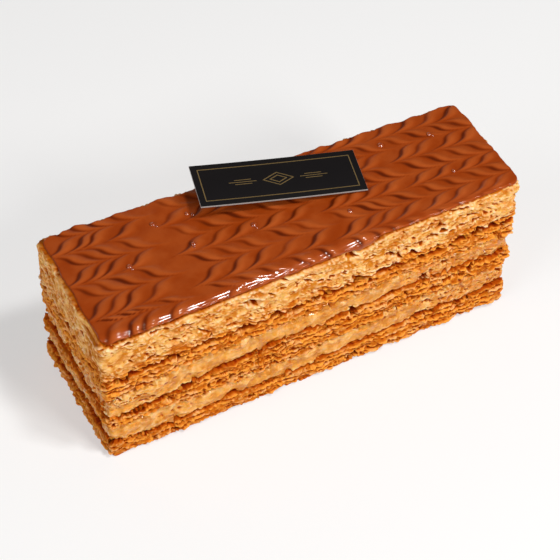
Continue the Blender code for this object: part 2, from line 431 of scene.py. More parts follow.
def cream_relief(rough):
    """Depth of a band of cream that is smooth in places and torn in others."""
    def relief(cut, x, y, z, share, seed):
        torn = rough(x) * cut.front + 0.8 * (1.0 - cut.front)
        torn = np.clip(torn + 0.6 * noise(x, y, z, (9.0, 9.0, 4.0), seed), 0.0, 1.0)
        pillow = 0.65 * noise(x, y, z, (4.6, 4.6, 3.4), seed + 1) + 0.2 * noise(x, y, z, 1.6, seed + 2)
        pit, draw = honeycomb(x, y, z + 0.2 * x, (3.2, 3.2, 1.8), 1.1, seed + 10)
        pits = 1.2 * pit * draw**2
        pit, draw = honeycomb(x, y, z, (1.6, 1.6, 1.1), 0.7, seed + 20)
        pits = pits + 0.55 * pit * draw
        tuck = 0.8 * np.abs(2.0 * share - 1.0) ** 6
        ends = 0.6 * step_between(HALF_X - 6.0, HALF_X - 2.0, abs(cut.x))
        fine = 0.07 * noise(x, y, z, 0.9, seed + 3)
        return ends + tuck - pillow * (1.0 - 0.4 * torn) + pits * (0.04 + 1.15 * torn) - fine - 0.1
    return relief


def soften(values, reach):
    """Average over a few rows and columns to each side; columns run round the block."""
    padded = np.pad(values, ((reach, reach), (0, 0)), mode="edge")
    rows = sum(padded[step:step + len(values)] for step in range(2 * reach + 1))
    columns = sum(np.roll(rows, step, 1) for step in range(-reach, reach + 1))
    return columns / (2 * reach + 1) ** 2


def baked_shade(depth, z):
    """Painted shade and painted highlight from how deep each place lies among its neighbours: shade in pits and under a
    ledge, highlight on raised rims.
    """
    pitch = np.diff(z[1:-1], axis=0).mean()
    lower = depth - soften(depth, 6)
    close = depth - soften(depth, 2)
    under = np.zeros_like(depth)
    for step in range(1, 7):
        above = depth.copy()
        above[:-step] = depth[step:]
        under = np.maximum(under, depth - above - 0.4 * step * pitch)
    # Painted shade: darker in pits and under ledges, where shade falls.
    painted_shade = np.clip(1.1 * np.maximum(lower, 0.0) + 1.3 * np.maximum(close, 0.0) + 1.3 * under - 0.08, 0.0, 1.0)
    # Painted highlight: lighter on raised rims.
    rim = np.clip(-2.2 * close - 0.6 * lower, 0.0, 1.0)
    return painted_shade, rim


def build_layer(name, node, low, high, rows, relief, seed, material, tuck=(0.4, 0.4), pale=None):
    """One layer of the slice, from its lower to its upper level, with relief all round."""
    cut = Cut(COLUMNS)
    low, high = low(cut), high(cut)
    share = np.clip(np.linspace(-1.0, rows, rows + 2) / (rows - 1), 0.0, 1.0)[:, None]
    z = low + (high - low) * share
    x, y = np.broadcast_to(cut.x, z.shape), np.broadcast_to(cut.y, z.shape)
    hollow = hollows(cut, x, y, z)
    from_low, from_high = z - low, high - z
    frayed = 0.5 + 0.3 * noise(x, y, z, 1.5, seed + 91)
    seams = tuck[0] * hump(from_low / frayed, 0.0, 0.8) + tuck[1] * hump(from_high / frayed, 0.0, 0.8)
    depth = relief(cut, x, y, z, share, seed) + hollow + seams
    painted_shade, rim = baked_shade(depth, z)
    # Painted shade is also laid in the hollows and along the seams between layers, and the last term makes the layers a
    # little darker towards the bottom.
    painted_shade = np.maximum(painted_shade, 0.9 * hollow) + 0.7 * seams + 0.05 * step_between(26.0, 14.0, z)
    painted_shade = np.clip(painted_shade, 0.0, 1.0)
    depth[[0, -1]] = SHEET_DEPTH
    painted_shade[[0, -1]] = 1.0
    curl = CURL * noise(x, y, z, (1.6, 1.6, 1.1), seed + 90) * np.sin(math.pi * share)
    patches = step_between(0.08, 0.42, noise(x, y, z, (4.5, 4.5, 1.6), seed + 92) + 0.35 * noise(x, y, z, 1.4, seed + 93))
    pale = pale(share, x, y, z) * (1.0 - 0.5 * patches) if pale else 0.32 * patches
    attributes = {"painted_shade": painted_shade, "rim": rim, "pale": pale}
    data = build_wall(name, z + curl, depth, attributes, cut.radius)
    return add_piece(name, data, material, node)


def crack_level(cut):
    """The dark gap inside the top sheet, with browned flakes under it and pale crumb over it."""
    return 31.4 + 0.8 * cut.x / HALF_X + 0.4 * cut.noise(1, 6.0, 71) + 0.45 * cut.noise(2, 2.0, 72)


def crumb_floor(cut):
    """The underside of the pale crumb, a little over the crack."""
    return crack_level(cut) + 0.45 + 0.5 * step_between(-0.3, 0.5, cut.noise(5, 3.0, 73))


def crumb_top(cut):
    """The top of the crumb, just inside the glaze."""
    return cut.level("pastry_top") + 0.3 - 0.92 * front_sag(cut.x, HALF_Y + cut.y)


def seam(name, seed):
    """The uneven line where a layer of the slice meets the next."""
    def line(cut):
        slow = 0.6 * cut.noise(0, 13.0, seed) + 0.35 * cut.noise(1, 5.0, seed)
        bite = 0.9 * step_between(0.15, 0.5, cut.noise(3, 2.6, seed + 2)) * np.sign(cut.noise(4, 9.0, seed + 3))
        return cut.level(name) + slow + bite + 0.4 * cut.noise(2, 1.3, seed + 1)
    return line


def foot_level(cut):
    """The bottom sheet's underside, ragged but flat on the floor."""
    return 0.12 + 0.25 * step_between(0.0, 0.6, cut.noise(3, 2.4, 5))


# ---------------------------------------------------------------- glaze

# The lines along which a comb was drawn through the glaze: Y at the left end, Y at the right
# end, and which way the comb went.
COMBED = (
    (29.8, 17.0, 1), (24.0, 11.5, -1), (18.2, 6.5, 1), (12.8, 1.3, -1), (6.7, -4.6, 1), (0.9, -8.6, -1),
    (-5.6, -13.5, 1), (-12.3, -17.5, -1), (-14.2, -25.0, 1), (-22.5, -33.0, -1),
)
PIPED = (
    -58.5, -53.4, -49.5, -41.8, -27.3, -20.2, -13.8, -4.8, 2.5, 13.0, 19.0, 24.0, 30.0, 39.0, 45.3,
    53.0, 58.5,
)
GLAZE_EDGE = 0.5
GLAZE_CORNER = 1.8
LEFT_INSET = 0.9
GLAZE_UNDER = 46.05
FRONT_SAG, FRONT_SAG_RIGHT = 1.7, 0.6
SHOULDER = 2.8
# How far the glaze hangs down the front: place along X and drop.
DRIPS = (
    (-64, 0.5), (-60, 0.5), (-48, 0.55), (-35, 0.6), (-22, 0.65), (-10, 0.8), (0, 0.85), (8, 0.9),
    (11, 1.4), (14, 2.0), (17, 1.7), (18.6, 0.8), (20, 0.45), (66, 0.45),
)
LIP = (
    (0.12, 0.02), (0.25, 0.08), (0.37, 0.2), (0.45, 0.38), (0.5, 0.25), (0.52, 0.5), (0.5, 0.75),
    (0.42, 0.93), (0.2, 1.0),
)
ROUNDED = 4


def feather(x, y):
    """The combed pattern: strength of the dark strokes, and swelling of the glaze between them."""
    share = (x + 62.0) / 124.0
    strokes, swell = np.zeros_like(x), np.zeros_like(x)
    for row, (upper, lower) in enumerate(zip(COMBED, COMBED[1:])):
        high = upper[0] + (upper[1] - upper[0]) * share + 0.35 * noise(x, 0.0, row, 14.0, 41)
        low = lower[0] + (lower[1] - lower[0]) * share + 0.35 * noise(x, 0.0, row + 1, 14.0, 41)
        rise = (y - low) / (high - low)
        inside = (rise >= 0.0) & (rise < 1.0)
        rise = np.clip(rise, 0.0, 1.0)
        pull_high, pull_low = 4.2 * upper[2], 6.8 * lower[2]
        pulled = pull_high * np.exp((rise - 1.0) / 0.15) + pull_low * np.exp(-rise / 0.19)
        source = x - pulled + 0.5 * noise(x, y, row, 6.0, 42)
        body = np.sin(math.pi * np.clip(rise, 0.02, 0.98)) ** 0.6
        for index, place in enumerate(PIPED):
            chance = noise(index * 5.3, row * 3.1, 0.5, 1.0, 43)
            away = source - place - 0.9 * chance
            stroke = hump(away, 0.0, 0.72) * (0.95 + 0.5 * chance) * body * inside
            strokes = np.maximum(strokes, stroke)
            swell = np.maximum(swell, hump(away, 2.0, 1.7) * body * inside)
    return np.clip(strokes, 0.0, 1.0), swell


def round_corners(x, y, half_x, half_y, radius):
    """Moves places near the corners of a rectangle so that the corners become arcs."""
    dx = x - np.clip(x, radius - half_x, half_x - radius)
    dy = y - np.clip(y, radius - half_y, half_y - radius)
    scale = np.maximum(abs(dx), abs(dy)) / np.maximum(np.hypot(dx, dy), 1e-6)
    corner = (dx != 0.0) & (dy != 0.0)
    x = np.where(corner, x - dx + dx * scale, x)
    y = np.where(corner, y - dy + dy * scale, y)
    return x, y


def front_sag(x, inside):
    """How far the top sinks towards the front edge, at distances inside it: a round shoulder."""
    sag = FRONT_SAG + (FRONT_SAG_RIGHT - FRONT_SAG) * step_between(15.5, 21.0, x)
    return sag * (1.0 - np.sqrt(1.0 - np.clip(1.0 - inside / SHOULDER, 0.0, 0.98) ** 2)) / 0.8


def glaze_surface(x, y):
    """Height of the glaze, how dark it is along the combed lines, and how far it swells between them."""
    strokes, swell = feather(x, y)
    strokes = strokes ** 1.3
    front = -np.interp(x, (FOOT[-1, -1][0], TOP[1, -1][0]), (TOP[-1, -1][1], TOP[1, -1][1]))
    height = TOP_Z - 0.38 + 0.34 * swell + 0.14 * noise(x, y, 0.0, 6.0, 51) - front_sag(x, front + y)
    return height, strokes, swell


def lip_ring(base, out, lip, drop):
    """A place on the glaze's edge, out from its top face and down its side."""
    reach, down = lip
    return base[0] + out[0] * reach, base[1] + out[1] * reach, base[2] - down * drop


def build_glaze(sizes, material):
    mesh = bmesh.new()
    bmesh.ops.create_grid(mesh, x_segments=380, y_segments=120, size=1.0)
    data = bpy.data.meshes.new("glaze_top")
    mesh.to_mesh(data)
    square = get_points(data)
    inner_x, inner_y = HALF_X - GLAZE_EDGE, HALF_Y - GLAZE_EDGE
    x, y = round_corners(square[:, 0] * inner_x, square[:, 1] * inner_y, inner_x, inner_y, GLAZE_CORNER)
    inset_x = x + LEFT_INSET * step_between(10.0 - HALF_X, -HALF_X, x)
    back_wave = 0.1 + 0.6 * noise(x, 0.0, 7.0, 6.0, 54) + 0.25 * noise(x, 0.0, 7.0, 2.0, 59)
    inset_y = y - back_wave * step_between(HALF_Y - 6.0, HALF_Y, y)
    places = plan(0.5 + 0.5 * inset_x / HALF_X, 0.5 + 0.5 * inset_y / HALF_Y, np.full_like(x, TOP_Z))
    height, strokes, swell = glaze_surface(places[:, 0], places[:, 1])
    front = -np.interp(places[:, 0], (FOOT[-1, -1][0], TOP[1, -1][0]), (TOP[-1, -1][1], TOP[1, -1][1]))
    wet_edge = step_between(5.0, 2.0, front + places[:, 1])
    streaks = hump(places[:, 0], -54.5, 3.4) + hump(places[:, 0], -43.5, 3.0) + step_between(-40.0, -36.0, places[:, 0])
    wet_edge = wet_edge * np.clip(0.12 + streaks, 0.0, 1.0)
    points = np.column_stack((places, height - sizes.groove_depth / MM * strokes))
    bpy.data.meshes.remove(data)

    line = mesh.verts.layers.float.new("line")
    thin = mesh.verts.layers.float.new("thin")
    # The swelling between strokes is kept as the mask of a painted sheen.
    painted_sheen = mesh.verts.layers.float.new("painted_sheen")
    wet = mesh.verts.layers.float.new("wet")
    out_x, out_y = outward(x, y, inner_x, inner_y, GLAZE_CORNER)
    drop = glaze_drop(places[:, 0], places[:, 1])
    wave = 0.25 * noise(places[:, 0], places[:, 1], 3.0, 5.0, 52) + 0.12 * noise(places[:, 0], places[:, 1], 3.0, 1.7, 53)
    mesh.verts.ensure_lookup_table()
    ring = {}
    for index, vert in enumerate(mesh.verts):
        vert.co = Vector(points[index]) * MM
        vert[line] = strokes[index]
        vert[painted_sheen] = swell[index]
        vert[wet] = wet_edge[index]
        if vert.is_boundary:
            ring[vert] = index
    down = 0.0
    for step, (reach, share) in enumerate(LIP):
        edges = [edge for edge in mesh.edges if edge.is_boundary]
        made = bmesh.ops.extrude_edge_only(mesh, edges=edges)["geom"]
        grown = {}
        for vert in (item for item in made if isinstance(item, bmesh.types.BMVert)):
            source = next(edge.other_vert(vert) for edge in vert.link_edges if edge.other_vert(vert) in ring)
            grown[vert] = ring[source]
        for vert, index in grown.items():
            fall = share if step < ROUNDED else LIP[ROUNDED - 1][1] + share * max(drop[index] - LIP[ROUNDED - 1][1], 0.0)
            away = reach + (wave[index] if step > 0 else 0.5 * wave[index])
            place = points[index] + (out_x[index] * away, out_y[index] * away, -fall)
            vert.co = Vector(place) * MM
            vert[line] = strokes[index] * (1.0 - 0.1 * step)
            vert[thin] = max(0.0, 0.2 * (step - ROUNDED + 1))
            vert[wet] = 0.3 * wet_edge[index]
        ring = grown
    for reach, height in ((-0.6, None), (-1.8, GLAZE_UNDER)):
        edges = [edge for edge in mesh.edges if edge.is_boundary]
        made = bmesh.ops.extrude_edge_only(mesh, edges=edges)["geom"]
        grown = {}
        for vert in (item for item in made if isinstance(item, bmesh.types.BMVert)):
            source = next(edge.other_vert(vert) for edge in vert.link_edges if edge.other_vert(vert) in ring)
            index = grown[vert] = ring[source]
            level_here = source.co.z if height is None else height * MM
            place = points[index] + (out_x[index] * reach, out_y[index] * reach, 0.0)
            vert.co = (place[0] * MM, place[1] * MM, level_here)
        ring = grown
    rim = [edge for edge in mesh.edges if edge.is_boundary]
    face = bmesh.ops.contextual_create(mesh, geom=rim)["faces"]
    bmesh.ops.poke(mesh, faces=face)
    bmesh.ops.recalc_face_normals(mesh, faces=mesh.faces)
    return add_piece("caramel_glaze", finish_mesh(mesh, "caramel_glaze", 80.0), material, "glaze")


def glaze_drop(x, y):
    """How far the glaze hangs below its top face round the block."""
    long_side = np.interp(x, *zip(*DRIPS)) + 0.3 * noise(x, 0.0, 1.0, 3.5, 55) + 0.15 * noise(x, 0.0, 1.0, 1.2, 56)
    front = step_between(1.0 - HALF_Y * 0.9, -1.0 - HALF_Y * 0.9, y)
    left = step_between(3.0 - HALF_X, 1.0 - HALF_X, x) * (1.0 - front)
    other = 0.9 + 0.25 * noise(x, y, 2.0, 4.0, 57) + 0.9 * left * (0.6 + 0.6 * noise(x, y, 5.0, 5.0, 58))
    return np.maximum(other * (1.0 - front) + long_side * front, 0.42)


# Bubbles left on the glaze, as X, Y and radius.
BUBBLES = (
    (-45.0, 0.8, 0.62), (-33.3, 12.0, 0.62), (-26.6, 0.5, 0.6), (-9.3, -0.3, 0.66), (16.1, -7.4, 0.6),
    (35.7, 11.3, 0.7), (49.8, 8.8, 0.55), (48.8, -6.6, 0.5), (-32.6, 10.9, 0.3), (-44.6, -0.3, 0.35),
    (-26.9, -0.5, 0.3), (-9.0, -1.4, 0.36), (50.6, 8.1, 0.3), (-23.5, 11.5, 0.5), (-22.2, 10.6, 0.4),
)


def build_bubbles(material):
    mesh = bmesh.new()
    for x, y, radius in BUBBLES:
        height = glaze_surface(np.array([x]), np.array([y]))[0][0]
        place = Matrix.Translation((x * MM, y * MM, (height + 0.05 * radius) * MM))
        radius = 1.3 * radius
        bmesh.ops.create_icosphere(
            mesh, subdivisions=3, radius=radius * MM, matrix=place @ Matrix.Diagonal((1.0, 1.0, 0.7, 1.0))
        )
    return add_piece("glaze_bubbles", finish_mesh(mesh, "glaze_bubbles", 180.0), material, None)


# ---------------------------------------------------------------- loose flakes and crumbs

def flake_spots(count, seed):
    """Even random places round the cut: distance shares, heights and turns."""
    dice = np.random.default_rng(seed)
    return dice.random(count), dice.random(count), dice.random((count, 4))


def build_flakes(name, count, seed, low, high, size, material):
    """Thin curved shards that stand out of the cut sides."""
    cut = Cut(2200)
    where, height, draws = flake_spots(count, seed)
    out_x, out_y = outward(cut.x, cut.y)
    mesh = bmesh.new()
    for share, rise, draw in zip(where, height, draws):
        index = int(share * len(cut.x))
        z = low + (high - low) * rise
        x, y = plan(
            np.array([0.5 + 0.5 * cut.x[index] / HALF_X]), np.array([0.5 + 0.5 * cut.y[index] / HALF_Y]), np.array([z])
        )[0]
        width = size * (0.6 + 1.1 * draw[0])
        reach = size * (0.35 + 0.4 * draw[1])
        turn = math.atan2(out_y[index], out_x[index]) + 0.5 * (draw[2] - 0.5)
        pitch = 0.9 * (draw[3] - 0.5)
        sunk = 0.55 * reach + 0.15
        place = (
            Matrix.Translation(((x - out_x[index] * sunk) * MM, (y - out_y[index] * sunk) * MM, z * MM))
            @ Matrix.Rotation(turn, 4, "Z") @ Matrix.Rotation(pitch, 4, "Y")
        )
        add_flake(mesh, reach, width, draw, place)
    return mesh


def add_flake(mesh, reach, width, draw, place):
    """One shard: a thin plate with a notched rim, bent along its length."""
    verts = bmesh.ops.create_cone(
        mesh, cap_ends=True, cap_tris=True, segments=11, radius1=1.0, radius2=0.92, depth=1.0
    )["verts"]
    for vert in verts:
        x, y, z = vert.co
        notch = 1.0 + 0.22 * math.sin(9.0 * math.atan2(y, x) + 40.0 * draw[0]) + 0.15 * math.sin(5.0 * x + 30.0 * draw[3])
        bend = 0.16 * width * (draw[1] - 0.4) * math.cos(2.6 * y + 4.0 * draw[2])
        vert.co = (reach * notch * x * MM, 0.5 * width * notch * y * MM, (0.16 * z + bend) * MM)
    bmesh.ops.transform(mesh, matrix=place, verts=verts)


# ---------------------------------------------------------------- card

def card_frame():
    """The card's place: a matrix whose axes are its long side, its short side and its face, and its size."""
    points = node_points("card")
    middle = (points.min(0) + points.max(0)) / 2.0
    spread = points - points.mean(0)
    axes = np.linalg.eigh(spread.T @ spread)[1].T[::-1]
    axes[0] *= np.sign(axes[0][0])
    axes[1] *= np.sign(axes[1][1])
    axes[2] = np.cross(axes[0], axes[1])
    size = np.ptp(points @ axes.T, axis=0)
    place = Matrix(axes.T.tolist()).to_4x4()
    place.translation = Vector(middle) * MM
    return place, size


CARD_BOW = 0.25


def card_bend(x, size):
    """How far the card's face bows up towards its left end."""
    return CARD_BOW * (x / size[0] - 0.1) ** 2 * 4.0 - 0.25 * CARD_BOW


def build_card(material):
    place, size = card_frame()
    mesh = bmesh.new()
    bmesh.ops.create_cube(mesh, size=1.0)
    edges = [edge for edge in mesh.edges if abs(edge.verts[0].co.x - edge.verts[1].co.x) > 0.5]
    bmesh.ops.subdivide_edges(mesh, edges=edges, cuts=23)
    for vert in mesh.verts:
        vert.co = (vert.co.x * size[0] * MM, vert.co.y * size[1] * MM, vert.co.z * size[2] * MM)
    sharp = [edge for edge in mesh.edges if edge.calc_face_angle(0.0) > 1.0]
    bmesh.ops.bevel(mesh, geom=sharp, affect="EDGES", offset=0.05 * MM, segments=2, profile=0.5, material=-1)
    rim = mesh.verts.layers.float.new("rim")
    for vert in mesh.verts:
        x, y = vert.co.x / MM, vert.co.y / MM
        inside = min(0.5 * size[0] - abs(x), 0.5 * size[1] - abs(y))
        vert[rim] = 1.0 if inside < 0.03 else 0.0
        vert.co.z += card_bend(x, size) * MM
    bmesh.ops.transform(mesh, matrix=place, verts=mesh.verts)
    return add_piece("plain_card", finish_mesh(mesh, "card", 40.0), material, "card")


FOIL_MARGIN = 1.9
FOIL_WIDTH = 0.28
FOIL_THICKNESS = 0.03


def add_bar(mesh, start, end, width):
    """A straight strip of foil, as a flat sheet."""
    start, end = Vector(start), Vector(end)
    along = end - start
    pieces = max(1, int(along.length / 2.0))
    verts = bmesh.ops.create_grid(mesh, x_segments=pieces, y_segments=1, size=0.5)["verts"]
    turn = Matrix.Rotation(math.atan2(along.y, along.x), 4, "Z")
    size = Matrix.Diagonal((along.length + width, width, 1.0, 1.0))
    middle = ((start + end) / 2.0).to_3d()
    bmesh.ops.transform(mesh, matrix=Matrix.Translation(middle) @ turn @ size, verts=verts)


def build_foil(material):
    """A plain border and a lozenge between two rules."""
    place, size = card_frame()
    mesh = bmesh.new()
    half_x, half_y = 0.5 * size[0] - FOIL_MARGIN, 0.5 * size[1] - FOIL_MARGIN
    lift = 0.5 * size[2] + 0.012
    corners = [(-half_x, -half_y), (half_x, -half_y), (half_x, half_y), (-half_x, half_y)]
    lozenge = [(-4.2, 0.0), (0.0, -2.4), (4.2, 0.0), (0.0, 2.4)]
    for shape in (corners, lozenge, [(0.55 * x, 0.55 * y) for x, y in lozenge]):
        for start, end in zip(shape, shape[1:] + shape[:1]):
            add_bar(mesh, start, end, FOIL_WIDTH)
    for side in (-1, 1):
        for gap, length in ((6.2, 7.5), (7.6, 4.5)):
            y = 0.0 if length > 5 else 0.8
            for rule in {y, -y}:
                add_bar(mesh, (side * gap, rule), (side * (gap + length), rule), 0.8 * FOIL_WIDTH)
    bmesh.ops.solidify(mesh, geom=mesh.faces, thickness=FOIL_THICKNESS)
    for vert in mesh.verts:
        x, y, z = vert.co
        vert.co = (x * MM, y * MM, (z + lift + card_bend(x, size)) * MM)
    bmesh.ops.recalc_face_normals(mesh, faces=mesh.faces)
    bmesh.ops.transform(mesh, matrix=place, verts=mesh.verts)
    return add_piece("card_foil", finish_mesh(mesh, "card_foil", 30.0), material, None)


# ---------------------------------------------------------------- shader expressions

class Wire:
    """A node's output that takes part in Python arithmetic: each operation adds a Math node."""

    def __init__(self, paint, socket):
        self.paint = paint
        self.socket = socket

    def _math(self, operation, *values):
        inputs = dict(enumerate(values))
        return self.paint.node("ShaderNodeMath", {"operation": operation}, inputs)

    def __add__(self, other):
        return self._math("ADD", self, other)

    __radd__ = __add__

    def __sub__(self, other):
        return self._math("SUBTRACT", self, other)

    def __rsub__(self, other):
        return self._math("SUBTRACT", other, self)

    def __mul__(self, other):
        return self._math("MULTIPLY", self, other)

    __rmul__ = __mul__

    def __pow__(self, other):
        return self._math("POWER", self, other)

    def clamp(self):
        return self.paint.node("ShaderNodeClamp", {}, {"Value": self})

    def ramp(self, low, high):
        """0 below low, 1 above high, smooth between."""
        inputs = {"Value": self, "From Min": low, "From Max": high}
        return self.paint.node("ShaderNodeMapRange", {"interpolation_type": "SMOOTHSTEP"}, inputs)


class Paint:
    """Builds one material's nodes round its Principled shader."""

    def __init__(self, name):
        self.material = bpy.data.materials.new(name)
        self.material.use_nodes = True
        self.tree = self.material.node_tree
        self.shader = self.tree.nodes["Principled BSDF"]
        self.place = self.node("ShaderNodeTexCoord", {}, {}, "Object")

    def node(self, kind, settings, inputs, output=0):
        """Adds a node: its settings first, then its sockets' values or wires."""
        made = self.tree.nodes.new(kind)
        for key, value in settings.items():
            setattr(made, key, value)
        for key, value in inputs.items():
            socket = made.inputs[key]
            if isinstance(value, Wire):
                self.tree.links.new(value.socket, socket)
            else:
                socket.default_value = value
        return Wire(self, made.outputs[output])

    def attribute(self, name):
        return self.node("ShaderNodeAttribute", {"attribute_name": name}, {}, "Fac")

    def noise(self, size, detail=2.0, roughness=0.55, stretch=(1.0, 1.0, 1.0)):
        """Noise whose swells are about size millimetres across, drawn out along an axis by stretch."""
        scale = tuple(1.0 / (size * MM * part) for part in stretch)
        place = self.node("ShaderNodeMapping", {}, {"Vector": self.place, "Scale": scale})
        inputs = {"Vector": place, "Scale": 1.0, "Detail": detail, "Roughness": roughness}
        return self.node("ShaderNodeTexNoise", {}, inputs, "Fac")

    def colour(self, first, second, share):
        """A colour between two, each a wire or linear red, green and blue."""
        first, second = (c if isinstance(c, Wire) else (*c, 1.0) for c in (first, second))
        inputs = {0: share, 6: first, 7: second}
        return self.node("ShaderNodeMix", {"data_type": "RGBA"}, inputs, 2)

    def bump(self, height, strength, distance_mm):
        inputs = {"Height": height, "Strength": strength, "Distance": distance_mm * MM}
        return self.node("ShaderNodeBump", {}, inputs, "Normal")

    def set(self, **inputs):
        """Sets the shader's sockets, named with underscores, to values or wires."""
        for key, value in inputs.items():
            socket = self.shader.inputs[key.replace("_", " ")]
            if isinstance(value, Wire):
                self.tree.links.new(value.socket, socket)
            else:
                socket.default_value = value
        return self.material


WARM_SHEEN = (1.0, 0.62, 0.32, 1.0)


def pastry_material(name, colours):
    """Baked pastry: a painted highlight in gold on the rims of its sheets, painted shade in brown under them and dark
    and warm in the gaps.
    """
    paint = Paint(name)
    painted_shade, rim, pale = (paint.attribute(key) for key in ("painted_shade", "rim", "pale"))
    blotch = paint.noise(5.0, 3.0)
    fleck = paint.noise(1.3, 3.0, 0.55, (1.6, 1.6, 0.7))
    grain = paint.noise(0.25, 2.0, 0.6)
    toast = (0.7 * fleck + 1.3 * blotch - 0.5).ramp(0.2, 0.8)
    crust = paint.colour(colours.crust_dark, colours.crust_mid, toast)
    crumb = paint.colour(colours.crumb_dark, colours.crumb_mid, toast.ramp(0.0, 0.7))
    # Painted highlight: lighter towards the light crust and crumb colours on raised rims, with random flecks and toast.
    light = (rim * 1.1 + (fleck - 0.5) * 1.5 + (toast - 0.5) * 0.3).clamp()
    crust = paint.colour(crust, colours.crust_light, light)
    crumb = paint.colour(crumb, colours.crumb_light, light)
    base = paint.colour(crust, crumb, pale)
    # Painted shade: darker in pits, under ledges and at seams, first towards brown, then to the dark gap colour.
    shadow = (painted_shade + 0.35 * (fleck - 0.5)).clamp()
    shade_brown = paint.colour(colours.shade_brown, colours.crumb_dark, pale * 0.35)
    base = paint.colour(base, shade_brown, shadow.ramp(0.05, 0.42))
    base = paint.colour(base, colours.gap, shadow.ramp(0.38, 0.9) * (1.0 - 0.15 * pale))
    return paint.set(
        Base_Color=base, Roughness=0.6, Specular_IOR_Level=0.09, Specular_Tint=WARM_SHEEN,
        Subsurface_Weight=0.3, Subsurface_Radius=(1.0, 0.35, 0.07), Subsurface_Scale=0.8 * MM,
        Normal=paint.bump(0.6 * fleck + 0.4 * grain, 0.8, 0.4),
    )


def cream_material(name, colours):
    """Set caramel cream: smooth and moist, a little clearer and browner in patches."""
    paint = Paint(name)
    painted_shade, rim, torn = (paint.attribute(key) for key in ("painted_shade", "rim", "pale"))
    patch = paint.noise(3.0, 3.0, 0.5)
    smear = paint.noise(0.9, 3.0, 0.6, (1.6, 1.6, 0.9))
    base = paint.colour(colours.cream_deep, colours.cream_mid, (0.9 * patch + 0.2 * smear).ramp(0.36, 0.66))
    # Lighter in random patches, and on raised rims as a painted highlight.
    base = paint.colour(base, colours.cream_light, (0.8 * patch + 0.2 * smear + 0.4 * rim).ramp(0.52, 0.85))
    crumbs = paint.noise(1.2, 3.0, 0.6, (1.8, 1.8, 0.7))
    base = paint.colour(base, colours.crust_light, crumbs.ramp(0.56, 0.66) * 0.8)
    base = paint.colour(base, colours.crust_mid, (torn * (crumbs + 0.25 * patch).ramp(0.5, 0.7)).clamp() * 0.85)
    # Painted shade: darker in pits and at seams, towards brown and then the dark gap colour.
    shadow = (painted_shade + 0.1 * (smear - 0.5)).clamp()
    base = paint.colour(base, colours.shade_brown, shadow.ramp(0.1, 0.6))
    base = paint.colour(base, colours.gap, shadow.ramp(0.55, 1.0))
    return paint.set(
        Base_Color=base, Roughness=0.14 + 0.2 * smear, Specular_IOR_Level=0.4, Specular_Tint=WARM_SHEEN,
        Subsurface_Weight=0.45, Subsurface_Radius=(1.0, 0.45, 0.15), Subsurface_Scale=1.4 * MM,
        Coat_Weight=smear.ramp(0.52, 0.6), Coat_Roughness=0.08,
        Normal=paint.bump(0.6 * smear + 0.4 * paint.noise(0.7), 0.5, 0.4),
    )


def glaze_material(name, colours):
    """Caramel glaze, darker along the combed lines, with a painted sheen on the swells between them and a wet coat."""
    paint = Paint(name)
    line = paint.attribute("line")
    thin = paint.attribute("thin")
    painted_sheen, wet = paint.attribute("painted_sheen"), paint.attribute("wet")
    cloud = paint.noise(6.0, 3.0, 0.5)
    # Paler in random clouds, and on the swells between strokes as a painted sheen.
    base = paint.colour(colours.glaze, colours.glaze_pale_and_sheen, (cloud.ramp(0.3, 0.7) * 0.5 + painted_sheen * 0.7 - line).clamp())
    base = paint.colour(base, colours.glaze_line, (line * (0.85 + 0.5 * cloud)).clamp())
    drape = paint.noise(1.2, 3.0, 0.6, (0.6, 1.0, 2.5))
    base = paint.colour(base, colours.glaze_thin, (thin * (0.6 + 0.8 * drape)).clamp())
    return paint.set(
        Base_Color=base, Roughness=0.3 + 0.12 * paint.noise(1.8, 3.0), Specular_IOR_Level=0.13, Specular_Tint=WARM_SHEEN,
        Coat_Weight=0.1 + 0.5 * wet, Coat_Roughness=0.05,
        Normal=paint.bump(paint.noise(1.1, 2.0), 0.2, 0.12),
    )


def bubble_material(name, colours):
    paint = Paint(name)
    base = paint.colour(colours.glaze, colours.glaze_pale_and_sheen, paint.noise(0.8).ramp(0.4, 0.7))
    return paint.set(Base_Color=base, Roughness=0.25, Specular_IOR_Level=1.0, Coat_Weight=1.0, Coat_Roughness=0.1)


def card_material(name, colours):
    """Black card with a satin face and a pale, slightly scuffed core along its edges."""
    paint = Paint(name)
    rim = paint.attribute("rim")
    fibre = paint.noise(0.35, 3.0, 0.6)
    cloud = paint.noise(9.0, 2.0)
    face = paint.colour(colours.card, tuple(1.6 * part for part in colours.card), cloud * 0.6)
    core = paint.colour(colours.card_core, tuple(0.45 * part for part in colours.card_core), fibre)
    return paint.set(
        Base_Color=paint.colour(face, core, (rim * (0.7 + 0.6 * fibre)).clamp()),
        Roughness=0.46 + 0.12 * fibre, Specular_IOR_Level=0.1,
        Normal=paint.bump(fibre, 0.25, 0.03),
    )


def foil_material(name, colours):
    paint = Paint(name)
    worn = paint.noise(0.8, 3.0)
    base = paint.colour(colours.foil, tuple(0.6 * part for part in colours.foil), worn)
    return paint.set(Base_Color=base, Metallic=0.9, Roughness=0.3 + 0.2 * worn)


# ---------------------------------------------------------------- settings

def colour_setting(name, text, default):
    return FloatVectorProperty(name=name, description=text, subtype="COLOR", default=default, min=0.0, max=1.0)


